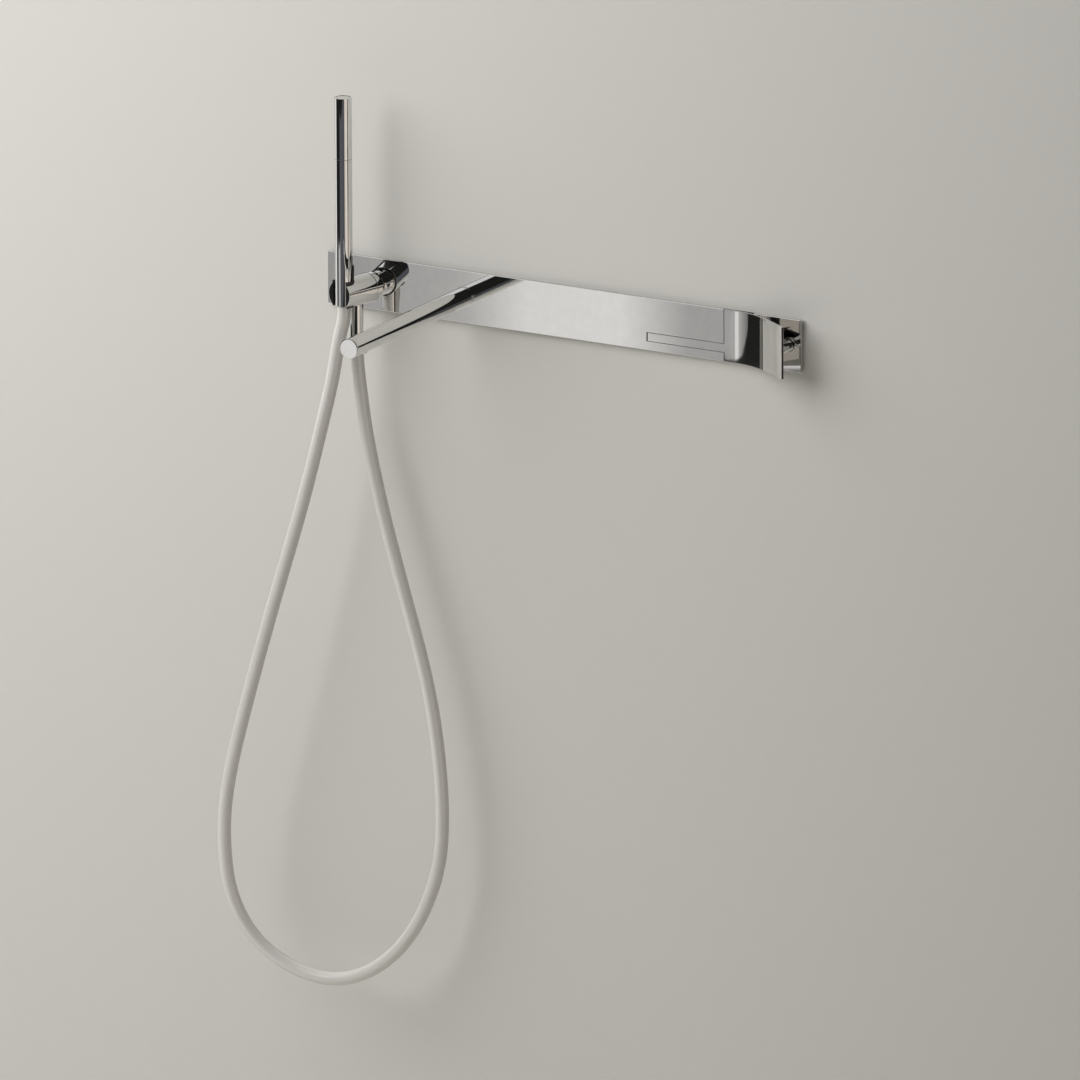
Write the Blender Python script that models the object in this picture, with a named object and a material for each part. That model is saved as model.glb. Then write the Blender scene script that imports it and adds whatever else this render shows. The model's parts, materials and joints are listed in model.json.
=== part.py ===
"""Wall mounted bath faucet: mirror faceplate, bent pull lever, spout and stick hand shower.

Metres, +Z up, +X to the right along the plate, +Y into the wall. The origin is the middle of
the gasket's back, on the finished wall.
"""
import math

import bmesh
import bpy
import numpy as np
from mathutils import Matrix, Vector

GAP = 0.0003                      # clearance between pieces that touch
CUTTER_PHASE = 0.11               # turns cutters a little, so their edges miss other edges

# Faceplate
PLATE_LENGTH = 0.540
PLATE_HEIGHT = 0.0533
PLATE_FRONT = -0.005
PLATE_BACK = -0.001
RECESS_DEPTH = 0.0031
RECESS_LEFT = 0.1824              # where the full height lever recess starts
RECESS_RIGHT = 0.2165
TONGUE_LEFT = 0.0946              # left end of the narrow slot for the lever's tongue
TONGUE_LOW, TONGUE_HIGH = -0.0177, -0.0082
STUD_PLACES = (("left", -0.060), ("right", 0.150))
SCREW_PLACES = (("left", -0.160), ("right", 0.090))
SCREW_HEIGHT = 0.013

# Lever
LEVER_THICKNESS = 0.0025
LEVER_SEAM = 0.0005
TONGUE_END_GAP = 0.0012
LEVER_BEND_START = 0.193
LEVER_BEND_RADIUS = 0.080
LEVER_BEND_ANGLE = math.radians(32)
LEVER_EDGE = 0.266
SPINDLE_X = 0.2575

# Spout and its diverter
SPOUT_X = -0.1136
SPOUT_RADIUS = 0.0099
SPOUT_BORE = 0.0082
BASE_RING_RADIUS = 0.0102
BASE_RING_HEIGHT = 0.0015
SPOUT_TIP = PLATE_FRONT - 0.2246
KNOB_RADIUS = 0.01025
KNOB_THICKNESS = 0.003
OUTLET_Y = -0.205
SPRING_FROM, SPRING_TO = -0.1978, -0.2196

# Hand shower holder: a ball joint whose body leans towards -X
PIVOT = Vector((-0.213, -0.016, 0.0))
LEAN = math.radians(15)
LEAN_AXIS = Vector((-math.sin(LEAN), -math.cos(LEAN), 0.0))
BALL_RADIUS = 0.0132
STUB_RADIUS = 0.0128              # collar between the plate and the ball
SEAT_INNER, SEAT_OUTER = 0.0135, 0.0140
SOCKET_RADIUS = 0.0143
HOLDER_RADIUS = 0.0147
HOLDER_LENGTH = 0.045
STICK_REACH = 0.0382              # pivot to the hand shower's axis
OUTLET_REACH = 0.021              # pivot to the outlet pipe's axis
CHANNEL_RADIUS = 0.0104
LINER_OUTER, LINER_INNER = 0.0101, 0.0092
OUTLET_RADIUS = 0.00675
OUTLET_END = -0.0477

# Hand shower
STICK_RADIUS = 0.0088
STICK_BORE = 0.0070
STICK_BOTTOM, STICK_TOP = -0.011, 0.201
STICK_SEAM = 0.1386

# Hose
HOSE_RADIUS = 0.0067
HOSE_POINTS = 46
HOSE_ROUTE_MM = (
    (-218.4, -36.3, -52.5), (-217.6, -36.2, -72), (-214.6, -36.4, -97), (-208.5, -37, -136),
    (-191, -38, -211), (-161, -40, -309), (-132, -43, -406), (-117, -47, -505),
    (-118, -50, -566), (-129, -53, -608), (-160, -58, -662), (-230, -65, -702),
    (-309, -72, -677), (-340, -77, -631), (-347, -80, -590), (-344, -83, -527),
    (-318, -84, -421), (-288, -81, -316), (-258, -75, -211), (-239, -67.5, -128),
    (-231, -61, -82), (-226, -55.8, -42), (-223, -53, -24), (-222.9, -52.9, -11.9),
)

# Pieces behind the wall's face
RAIL_FRONT, RAIL_BACK = 0.0015, 0.004
FITTING_FRONT, FITTING_BACK = 0.0125, 0.040
PIPE_Y = 0.0262
PIPE_RADIUS, PIPE_BORE = 0.008, 0.0065
BODY_LEFT, BODY_RIGHT = 0.186, 0.2695
INLET_PLACES = (("hot_inlet", 0.203), ("cold_inlet", 0.231))
INLET_END = 0.068

STICK_AXIS = PIVOT + LEAN_AXIS * STICK_REACH
OUTLET_AXIS = PIVOT + LEAN_AXIS * OUTLET_REACH

CHROME = ("chrome", (0.86, 0.87, 0.88), 0.06, 1.0)
BRASS = ("brass", (0.78, 0.62, 0.34), 0.35, 1.0)
STEEL = ("stainless_steel", (0.62, 0.63, 0.64), 0.35, 1.0)
RUBBER = ("rubber", (0.03, 0.03, 0.03), 0.8, 0.0)
CERAMIC = ("ceramic", (0.9, 0.89, 0.86), 0.3, 0.0)
WHITE_PLASTIC = ("white_acetal", (0.85, 0.85, 0.83), 0.45, 0.0)
GREY_PLASTIC = ("grey_acetal", (0.16, 0.16, 0.17), 0.45, 0.0)
HOSE_SKIN = ("silver_pvc", (0.72, 0.73, 0.74), 0.3, 0.4)


def clear_scene():
    """Remove whatever the file opened with."""
    for item in list(bpy.data.objects):
        bpy.data.objects.remove(item, do_unlink=True)


def surface(name, finish):
    """One Principled material for one sub-part."""
    colour, roughness, metallic = finish[1:]
    material = bpy.data.materials.new(name + "_" + finish[0])
    material.use_nodes = True
    shader = material.node_tree.nodes["Principled BSDF"]
    shader.inputs["Base Color"].default_value = (*colour, 1.0)
    shader.inputs["Roughness"].default_value = roughness
    shader.inputs["Metallic"].default_value = metallic
    return material


def placed(name, shape, finish, at=(0, 0, 0), direction=(0, 0, 1), smooth=False):
    """Turn a bmesh into a named object whose local Z points along a direction."""
    bmesh.ops.recalc_face_normals(shape, faces=shape.faces)
    mesh = bpy.data.meshes.new(name)
    shape.to_mesh(mesh)
    shape.free()
    if smooth:
        mesh.shade_smooth()
        mesh.set_sharp_from_angle(angle=math.radians(35))
    item = bpy.data.objects.new(name, mesh)
    bpy.context.collection.objects.link(item)
    item.location = at
    item.rotation_mode = "QUATERNION"
    item.rotation_quaternion = Vector((0, 0, 1)).rotation_difference(Vector(direction))
    if finish:
        mesh.materials.append(surface(name, finish))
    return item


def turned(name, profile, finish, at=(0, 0, 0), direction=(0, 0, 1), segments=16):
    """Revolve (radius, height) points about an axis; points off the axis at both ends close a ring."""
    shape = bmesh.new()
    rings = []
    for radius, height in profile:
        if radius < 1e-7:
            rings.append([shape.verts.new((0, 0, height))])
            continue
        start = 0.0 if finish else CUTTER_PHASE
        turns = [start + 2 * math.pi * step / segments for step in range(segments)]
        rings.append([shape.verts.new((radius * math.cos(a), radius * math.sin(a), height))
                      for a in turns])
    pairs = list(zip(rings, rings[1:]))
    if profile[0][0] > 1e-7:
        pairs.append((rings[-1], rings[0]))
    for lower, upper in pairs:
        for step in range(segments):
            after = step + 1
            corners = (lower[step % len(lower)], lower[after % len(lower)],
                       upper[after % len(upper)], upper[step % len(upper)])
            corners = list(dict.fromkeys(corners))
            if len(corners) > 2:
                shape.faces.new(corners)
    return placed(name, shape, finish, at, direction, smooth=True)


def ring(name, inner, outer, low, high, finish, at=(0, 0, 0), direction=(0, 0, 1), segments=16):
    """A plain tube or washer between two radii and two heights."""
    profile = [(inner, low), (outer, low), (outer, high), (inner, high)]
    return turned(name, profile, finish, at, direction, segments)


def rod(name, radius, low, high, finish, at=(0, 0, 0), direction=(0, 0, 1), segments=16):
    """A plain solid cylinder."""
    profile = [(0, low), (radius, low), (radius, high), (0, high)]
    return turned(name, profile, finish, at, direction, segments)


def block(name, low, high, finish, bevel=0.0):
    """A box between two corners, with optional rounded edges."""
    shape = bmesh.new()
    low, high = Vector(low), Vector(high)
    bmesh.ops.create_cube(shape, size=1.0, matrix=Matrix.LocRotScale(
        (low + high) / 2, None, high - low))
    item = placed(name, shape, finish)
    if bevel:
        rounding = item.modifiers.new("edges", "BEVEL")
        rounding.width = bevel
        rounding.segments = 2
    return item


def prism(name, outline, low, high, finish, at=(0, 0, 0)):
    """Extrude a closed XY outline from one height to another."""
    shape = bmesh.new()
    corners = [shape.verts.new((x, y, low)) for x, y in outline]
    face = shape.faces.new(corners)
    extruded = bmesh.ops.extrude_face_region(shape, geom=[face])
    lifted = [v for v in extruded["geom"] if isinstance(v, bmesh.types.BMVert)]
    bmesh.ops.translate(shape, verts=lifted, vec=(0, 0, high - low))
    return placed(name, shape, finish, at)


def arc(radius, start, stop, steps, centre=(0.0, 0.0)):
    """Points along an arc, angles in radians from the first coordinate's direction."""
    angles = [start + (stop - start) * step / steps for step in range(steps + 1)]
    return [(centre[0] + radius * math.cos(a), centre[1] + radius * math.sin(a)) for a in angles]


def sphere_arc(radius, start_height, stop_height, steps=5):
    """(radius, height) points on a ball centred at height 0, between two heights."""
    start = math.asin(start_height / radius)
    stop = math.asin(stop_height / radius)
    return arc(radius, start, stop, steps)


def boolean(item, tool, operation="DIFFERENCE"):
    """Cut or join with a hidden tool object."""
    change = item.modifiers.new(tool.name, "BOOLEAN")
    change.operation = operation
    change.solver = "EXACT"
    change.object = tool
    tool.hide_render = True
    tool.display_type = "WIRE"
    return item


def hinge_point(name, at):
    """An empty that carries one moving body."""
    item = bpy.data.objects.new(name, None)
    bpy.context.collection.objects.link(item)
    item.location = at
    return item


def carried(pivot, items, parent=None):
    """Parent pieces to their body's empty without moving them."""
    if parent:
        pivot.parent = parent
        pivot.matrix_parent_inverse = Matrix.Translation(-parent.location)
    for item in items:
        item.parent = pivot
        item.matrix_parent_inverse = Matrix.Translation(-pivot.location)


def cluster(name, pieces):
    """Several small solids as one tool for a single Boolean."""
    shape = bmesh.new()
    for piece in pieces:
        before = len(shape.verts)
        shape.from_mesh(piece.data)
        shape.verts.ensure_lookup_table()
        turn = piece.rotation_quaternion.to_matrix().to_4x4()
        place = Matrix.Translation(piece.location) @ turn
        bmesh.ops.transform(shape, matrix=place, verts=shape.verts[before:])
        bpy.data.objects.remove(piece, do_unlink=True)
    return placed(name, shape, None)


INTO_WALL = Vector((0, 1, 0))
OUTWARD = Vector((0, -1, 0))


def wall_holes():
    """(x, radius) of each round opening through plate, gasket and rail."""
    return ((SPOUT_X, 0.0074), (PIVOT.x, 0.0064), (SPINDLE_X, 0.0045))


def build_plate():
    """Faceplate with its T shaped lever recess and through holes."""
    half = PLATE_LENGTH / 2
    tall = PLATE_HEIGHT / 2
    plate = block("faceplate", (-half, PLATE_FRONT, -tall), (half, PLATE_BACK, tall), CHROME, 0.0005)
    floor = PLATE_FRONT + RECESS_DEPTH
    above = PLATE_FRONT - 0.002
    boolean(plate, block("lever_recess_cutter", (RECESS_LEFT, above, -0.03),
                         (RECESS_RIGHT, floor, 0.03), None))
    boolean(plate, block("tongue_recess_cutter", (TONGUE_LEFT, above, TONGUE_LOW),
                         (RECESS_LEFT + 0.001, floor, TONGUE_HIGH), None))
    for x, radius in wall_holes():
        boolean(plate, rod("plate_hole_cutter", radius, -0.010, 0.003, None, (x, 0, 0), INTO_WALL))
    return plate


def build_plate_backing():
    """Foam gasket, slotted rail, studs, nuts and wall screws that hold the plate."""
    half = PLATE_LENGTH / 2 - 0.002
    tall = PLATE_HEIGHT / 2 - 0.002
    gasket = block("plate_gasket", (-half, PLATE_BACK + GAP, -tall), (half, 0, tall), RUBBER)
    rail = block("mounting_rail", (-half + 0.008, RAIL_FRONT, -0.019),
                 (half - 0.004, RAIL_BACK, 0.019), STEEL)
    openings = list(wall_holes()) + [(x, 0.003) for _, x in STUD_PLACES]
    for x, radius in openings:
        cutter = rod("backing_cutter", radius, -0.003, 0.008, None, (x, 0, 0), INTO_WALL)
        boolean(gasket, cutter)
        boolean(rail, cutter)
    for side, x in SCREW_PLACES:
        at = (x, 0, SCREW_HEIGHT)
        cutter = rod("screw_cutter", 0.0023, 0.001, 0.006, None, at, INTO_WALL, 12)
        boolean(rail, cutter)
        profile = [(0, 0.0003), (0.0036, 0.0003), (0.0036, 0.0012), (0.0019, 0.0012),
                   (0.0019, 0.028), (0, 0.030)]
        turned("rail_screw_" + side, profile, STEEL, at, INTO_WALL, 12)
    for side, x in STUD_PLACES:
        rod("plate_stud_" + side, 0.0024, PLATE_BACK + GAP, 0.012, STEEL, (x, 0, 0), INTO_WALL, 12)
        nut("stud_nut_" + side, 0.0046, 0.0027, RAIL_BACK + GAP, RAIL_BACK + 0.004, (x, 0, 0), STEEL)


def nut(name, radius, hole, low, high, at, finish):
    """A hexagonal nut round an axis into the wall, with its hole left open."""
    shape = bmesh.new()
    rings = []
    for height in (low, high):
        outer = [shape.verts.new((x, y, height)) for x, y in arc(radius, 0, math.radians(330), 11)]
        for step in range(1, 12, 2):
            outer[step].co.xy *= math.cos(math.radians(30))
        inner = [shape.verts.new((x, y, height)) for x, y in arc(hole, 0, math.radians(330), 11)]
        rings.append((outer, inner))
    (outer_low, inner_low), (outer_high, inner_high) = rings
    for near, far in ((outer_low, outer_high), (inner_high, inner_low),
                      (inner_low, outer_low), (outer_high, inner_high)):
        for step in range(12):
            after = (step + 1) % 12
            shape.faces.new((near[step], near[after], far[after], far[step]))
    return placed(name, shape, finish, at, INTO_WALL)


def build_valve():
    """Concealed brass body, cartridge and water inlets behind the lever."""
    body = block("valve_body", (BODY_LEFT, 0.014, -0.020), (BODY_RIGHT, 0.042, 0.020), BRASS, 0.001)
    axis = (SPINDLE_X, 0, 0)
    boolean(body, rod("cartridge_bore_cutter", 0.010, 0.010, 0.036, None, axis, INTO_WALL))
    boolean(body, rod("outlet_bore_cutter", PIPE_BORE, -0.1, 0.0, None,
                      (SPINDLE_X, PIPE_Y, 0), (1, 0, 0)))
    turned("cartridge_housing", [(0.0016, 0.0357), (0.0097, 0.0357), (0.0097, 0.0155),
           (0.0036, 0.0155), (0.0036, 0.0180), (0.0080, 0.0180), (0.0080, 0.0337),
           (0.0016, 0.0337)], GREY_PLASTIC, axis, INTO_WALL)
    ring("valve_seat", 0.0016, 0.0077, 0.0308, 0.0334, CERAMIC, axis, INTO_WALL)
    ring("cartridge_nut", 0.0040, 0.0115, 0.0075, 0.0137, BRASS, axis, INTO_WALL)
    ring("spindle_escutcheon", 0.0058, 0.0078, -PLATE_FRONT + GAP, -PLATE_FRONT + 0.0015,
         CHROME, axis, OUTWARD, 32)
    for name, x in INLET_PLACES:
        boolean(body, rod(name + "_port_cutter", 0.005, 0.030, 0.046, None, (x, 0, 0), INTO_WALL))
        profile = [(0.0060, 0.0423), (0.0125, 0.0423), (0.0125, 0.048), (0.0103, 0.0485),
                   (0.0103, INLET_END), (0.0060, INLET_END)]
        turned(name, profile, BRASS, (x, 0, 0), INTO_WALL)


def fitting(name, x, finish):
    """A brass cube round the pipe line with a cross bore and a bore towards the room."""
    item = block(name, (x - 0.014, FITTING_FRONT, -0.013), (x + 0.014, FITTING_BACK, 0.013), finish, 0.001)
    boolean(item, rod(name + "_room_cutter", 0.0048, 0.005, PIPE_Y, None, (x, 0, 0), INTO_WALL))
    return item


def build_pipework():
    """Pipe, tee, check valve and elbow that feed the spout and the hand shower outlet."""
    tee = fitting("spout_tee", SPOUT_X, BRASS)
    boolean(tee, rod("tee_cutter", PIPE_BORE, -0.02, 0.02, None, (SPOUT_X, PIPE_Y, 0), (1, 0, 0)))
    elbow = fitting("shower_elbow", PIVOT.x, BRASS)
    boolean(elbow, rod("elbow_cutter", PIPE_BORE, 0.0, 0.02, None, (PIVOT.x, PIPE_Y, 0), (1, 0, 0)))
    along = (0, PIPE_Y, 0)
    ring("supply_pipe", PIPE_BORE, PIPE_RADIUS, SPOUT_X + 0.014 + GAP, BODY_LEFT - GAP,
         STEEL, along, (1, 0, 0))
    ring("branch_pipe", PIPE_BORE, PIPE_RADIUS, PIVOT.x + 0.014 + GAP, SPOUT_X - 0.014 - GAP,
         STEEL, along, (1, 0, 0))
    ring("check_valve", 0.0030, 0.0062, -0.172, -0.158, WHITE_PLASTIC, along, (1, 0, 0))
    ball = [(r, h + PLATE_FRONT - PIVOT.y) for r, h in sphere_arc(BALL_RADIUS, -0.0072, 0.01285, 7)]
    turned("ball_stub", [(0.003, -0.0172), (0.006, -0.0172), (0.006, GAP), (STUB_RADIUS, GAP),
           (STUB_RADIUS, 0.0036)] + ball, CHROME, (PIVOT.x, PLATE_FRONT, 0), OUTWARD, 32)
    nut("stub_nut", 0.0105, 0.0064, RAIL_BACK + GAP, 0.0115, (PIVOT.x, 0, 0), BRASS)


def build_spout():
    """Spout tube, its base ring, inner nipple and the outlet in its underside."""
    axis = (SPOUT_X, 0, 0)
    tip = -(SPOUT_TIP + KNOB_THICKNESS + GAP)
    start = -PLATE_FRONT + BASE_RING_HEIGHT + GAP
    tube = [(SPOUT_BORE, start), (SPOUT_RADIUS, start), (SPOUT_RADIUS, tip), (SPOUT_BORE, tip)]
    spout = turned("spout_tube", tube, CHROME, axis, OUTWARD, 28)
    boolean(spout, rod("outlet_cutter", 0.0062, -0.013, 0.0, None, (SPOUT_X, OUTLET_Y, 0)))
    ring("spout_base_ring", 0.0074, BASE_RING_RADIUS, -PLATE_FRONT + GAP,
         -PLATE_FRONT + BASE_RING_HEIGHT, CHROME, axis, OUTWARD, 28)
    ring("spout_nipple", 0.0050, 0.0070, -0.0122, 0.030, BRASS, axis, OUTWARD)
    ring("spout_seal", 0.0072, 0.0080, 0.012, 0.0138, RUBBER, axis, OUTWARD)
    ring("spout_end_bush", 0.0023, 0.0080, tip - 0.005, tip - 0.001, WHITE_PLASTIC, axis, OUTWARD)
    ring("aerator_housing", 0.0046, 0.0059, -0.0096, -0.0048, CHROME, (SPOUT_X, OUTLET_Y, 0))
    rod("aerator_insert", 0.0043, -0.0090, -0.0060, WHITE_PLASTIC, (SPOUT_X, OUTLET_Y, 0))


def build_spring():
    """Return spring between the end bush and the rod's collar: a round wire on a helix."""
    turns, steps = 6, 8
    far, near = SPRING_FROM, SPRING_TO
    line = bpy.data.curves.new("diverter_spring", "CURVE")
    line.dimensions = "3D"
    line.bevel_depth = 0.00035
    line.bevel_resolution = 0
    line.use_fill_caps = True
    spline = line.splines.new("POLY")
    count = turns * steps + 1
    spline.points.add(count - 1)
    for step, place in enumerate(spline.points):
        angle = 2 * math.pi * step / steps
        along = far + (near - far) * step / (count - 1)
        place.co = (SPOUT_X + 0.003 * math.cos(angle), along, 0.003 * math.sin(angle), 1.0)
    line.materials.append(surface("diverter_spring", STEEL))
    item = bpy.data.objects.new("diverter_spring", line)
    bpy.context.collection.objects.link(item)
    return item


def build_diverter():
    """The pull knob that is the spout's end disc, its rod and the piston behind the spout."""
    axis = (SPOUT_X, 0, 0)
    back = -(SPOUT_TIP + KNOB_THICKNESS)
    front = -SPOUT_TIP
    edge = 0.0006
    knob = turned("diverter_knob", [(0, back), (KNOB_RADIUS, back), (KNOB_RADIUS, front - edge),
                  (KNOB_RADIUS - edge, front), (0, front)], CHROME, axis, OUTWARD, 28)
    stem = turned("diverter_rod", [(0, -0.004), (0.0018, -0.004), (0.0018, 0.195), (0.0036, 0.195),
                  (0.0036, 0.197), (0.0018, 0.197), (0.0018, back - GAP), (0, back - GAP)],
                  STEEL, axis, OUTWARD, 16)
    piston = rod("diverter_piston", 0.0046, -0.0085, -0.0043, RUBBER, axis, OUTWARD)
    pivot = hinge_point("diverter_line", axis)
    carried(pivot, (knob, stem, piston, build_spring()))


def lever_outline():
    """Side view of the bent sheet: a flat, a bend and a straight flap, front then back."""
    front = []
    back = []
    for step in range(0, 13):
        turn = LEVER_BEND_ANGLE * step / 12
        x = LEVER_BEND_START + LEVER_BEND_RADIUS * math.sin(turn)
        rise = LEVER_BEND_RADIUS * (1 - math.cos(turn))
        front.append((x, PLATE_FRONT - rise))
        back.append((x + LEVER_THICKNESS * math.sin(turn),
                     PLATE_FRONT - rise + LEVER_THICKNESS * math.cos(turn)))
    slope = math.tan(LEVER_BEND_ANGLE)
    x, y = front[-1]
    front.append((LEVER_EDGE, y - (LEVER_EDGE - x) * slope))
    end_x, end_y = front[-1]
    back.append((end_x + LEVER_THICKNESS * math.sin(LEVER_BEND_ANGLE),
                 end_y + LEVER_THICKNESS * math.cos(LEVER_BEND_ANGLE)))
    left = RECESS_LEFT + LEVER_SEAM
    return [(left, PLATE_FRONT)] + front + back[::-1] + [(left, PLATE_FRONT + LEVER_THICKNESS)]


def flap_back(x):
    """Y of the flap's straight back face at an X."""
    slope = math.tan(LEVER_BEND_ANGLE)
    bend_end = LEVER_BEND_START + LEVER_BEND_RADIUS * math.sin(LEVER_BEND_ANGLE)
    rise = LEVER_BEND_RADIUS * (1 - math.cos(LEVER_BEND_ANGLE))
    front = PLATE_FRONT - rise - (x - bend_end) * slope
    return front + LEVER_THICKNESS / math.cos(LEVER_BEND_ANGLE)


def build_lever():
    """Bent T shaped lever with the hub, spindle and plunger that it pulls."""
    tall = PLATE_HEIGHT / 2 - 0.0001
    lever = prism("lever", lever_outline(), -tall, tall, CHROME)
    tongue = block("tongue_joiner", (TONGUE_LEFT + TONGUE_END_GAP, PLATE_FRONT, TONGUE_LOW + LEVER_SEAM),
                   (RECESS_LEFT + 0.004, PLATE_FRONT + LEVER_THICKNESS, TONGUE_HIGH - LEVER_SEAM), None)
    boolean(lever, tongue, "UNION")
    axis = (SPINDLE_X, 0, 0)
    hub = turned("lever_hub", [(0, 0.045), (0.0055, 0.045), (0.0055, 0.0072), (0.0034, 0.0072),
                 (0.0034, 0.0205), (0, 0.0205)], CHROME, axis, OUTWARD, 32)
    reach = 0.012
    low, high = SPINDLE_X - reach, SPINDLE_X + reach
    slant = [(low, flap_back(low) + GAP * 1.3), (high, flap_back(high) + GAP * 1.3), (high, -0.06),
             (low, -0.06)]
    boolean(hub, prism("hub_slant_cutter", slant, -0.01, 0.01, None))
    side = (SPINDLE_X, -0.013, 0)
    boolean(hub, rod("grub_hole_cutter", 0.0016, -0.008, -0.002, None, side, segments=12))
    grub = rod("lever_grub_screw", 0.0013, -0.0053, -0.0032, STEEL, side, segments=12)
    spindle = rod("valve_spindle", 0.0028, -0.0266, 0.0200, STEEL, axis, OUTWARD)
    plunger = rod("valve_plunger", 0.0076, -0.0302, -0.0269, CERAMIC, axis, OUTWARD)
    pivot = hinge_point("lever_line", axis)
    carried(pivot, (lever, hub, grub, spindle, plunger))


def channel_outline(radius, mouth):
    """A U in the holder's own plane: a half circle behind and straight legs to a mouth."""
    curve = arc(radius, 0, math.pi, 16)
    return [(radius, -mouth)] + curve + [(-radius, -mouth)]


def lean_turned(outline):
    """Turn an outline drawn for a straight holder to the leaning one."""
    cos, sin = math.cos(-LEAN), math.sin(-LEAN)
    return [(x * cos - y * sin, x * sin + y * cos) for x, y in outline]


def build_holder():
    """Leaning holder body on its ball, with the liner, outlet pipe and hose nut."""
    front = HOLDER_LENGTH
    socket = sphere_arc(SOCKET_RADIUS, 0.0053, 0.01398)
    profile = [(0, front), (HOLDER_RADIUS - 0.0006, front), (HOLDER_RADIUS, front - 0.0006),
               (HOLDER_RADIUS, 0.0053)] + socket + [(0.003, 0.0225), (0, 0.0225)]
    body = turned("holder_body", profile, CHROME, PIVOT, LEAN_AXIS, 28)
    channel = lean_turned(channel_outline(CHANNEL_RADIUS, 0.020))
    boolean(body, prism("channel_cutter", channel, -0.02, 0.02, None, STICK_AXIS))
    boolean(body, rod("outlet_seat_cutter", OUTLET_RADIUS + GAP, -0.02, -0.011, None, OUTLET_AXIS))
    boolean(body, rod("outlet_way_cutter", 0.0025, -0.012, 0.0, None, OUTLET_AXIS))
    collar = turned("socket_ring", [(0.01356, -0.001), (0.0149, -0.001), (0.0149, 0.005)]
                    + sphere_arc(0.0136, 0.005, -0.001, 4)[:-1], CHROME, PIVOT, LEAN_AXIS, 28)
    seat = turned("ball_seat", sphere_arc(SEAT_INNER, 0.0053, 0.01316)
                  + sphere_arc(SEAT_OUTER, 0.01367, 0.0053), WHITE_PLASTIC, PIVOT, LEAN_AXIS, 16)
    inner = channel_outline(LINER_INNER, 0.0060)
    outer = channel_outline(LINER_OUTER, 0.0060)
    shell = lean_turned(outer + inner[::-1])
    liner = prism("holder_liner", shell, -0.0125, 0.0135, GREY_PLASTIC, STICK_AXIS)
    back_shell = arc(LINER_OUTER, math.radians(10), math.radians(170), 14)
    back_shell += arc(LINER_INNER, math.radians(170), math.radians(10), 14)
    boolean(liner, prism("liner_back_joiner", lean_turned(back_shell), 0.0, 0.029, None, STICK_AXIS), "UNION")
    pipe = ring("outlet_pipe", 0.0048, OUTLET_RADIUS, OUTLET_END, -0.0113, CHROME, OUTLET_AXIS, segments=32)
    washer = ring("outlet_washer", 0.0025, 0.0045, -0.0470, -0.0450, RUBBER, OUTLET_AXIS)
    nut_low, nut_high = -0.052, OUTLET_END - GAP
    hose_nut = turned("hose_nut", [(0.0030, nut_low), (0.0062, nut_low), (OUTLET_RADIUS, nut_high - 0.002),
                      (OUTLET_RADIUS, nut_high), (0.0030, nut_high)], CHROME, OUTLET_AXIS, segments=32)
    pivot = hinge_point("holder_pivot", PIVOT)
    carried(pivot, (body, collar, seat, liner, pipe, washer, hose_nut, build_hose()))
    return pivot


def build_hand_shower(holder):
    """Stick hand shower: handle, spray end, nozzle strip and the parts inside."""
    at = STICK_AXIS
    bore, radius = STICK_BORE, STICK_RADIUS
    handle = ring("handle_tube", bore, radius, STICK_BOTTOM, STICK_SEAM - GAP, CHROME, at, segments=28)
    spray = ring("spray_tube", bore, radius, STICK_SEAM, STICK_TOP, CHROME, at, segments=28)
    to_wall = -LEAN_AXIS
    across = Vector((0, 0, 1)).cross(to_wall)
    slot = []
    for side, depth in ((-1, 0.004), (1, 0.004), (1, 0.012), (-1, 0.012)):
        slot.append(tuple((across * side * 0.0040 + to_wall * depth).xy))
    boolean(spray, prism("spray_slot_cutter", slot, 0.146, 0.192, None, at))
    plate = []
    for side, depth in ((-1, 0.0056), (1, 0.0056), (1, 0.0070), (-1, 0.0070)):
        plate.append(tuple((across * side * 0.0036 + to_wall * depth).xy))
    strip = prism("nozzle_strip", plate, 0.1465, 0.1915, RUBBER, at)
    nozzles = []
    for row in range(10):
        for side in (-1, 1):
            place = at + to_wall * 0.0065 + across * side * 0.0018 + Vector((0, 0, 0.149 + row * 0.0044))
            nozzles.append(turned("nozzle", [(0, 0), (0.0009, 0), (0.0006, 0.0018), (0, 0.0018)], None,
                                  place, to_wall, 8))
    boolean(strip, cluster("nozzle_joiner", nozzles), "UNION")
    cap = rod("top_cap", bore - GAP, STICK_TOP - 0.0045, STICK_TOP - GAP, CHROME, at, segments=28)
    connector = ring("handle_connector", 0.0050, 0.0067, 0.128, 0.145, BRASS, at)
    swivel = ring("swivel_nut", 0.0040, 0.0067, STICK_BOTTOM + 0.0005, 0.006, BRASS, at)
    washer = ring("swivel_washer", 0.0030, 0.0065, 0.0063, 0.0083, RUBBER, at)
    limiter = ring("flow_limiter", 0.0015, 0.0066, 0.0086, 0.0136, WHITE_PLASTIC, at)
    pivot = hinge_point("hand_shower_line", at)
    carried(pivot, (handle, spray, strip, cap, connector, swivel, washer, limiter), holder)


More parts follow.
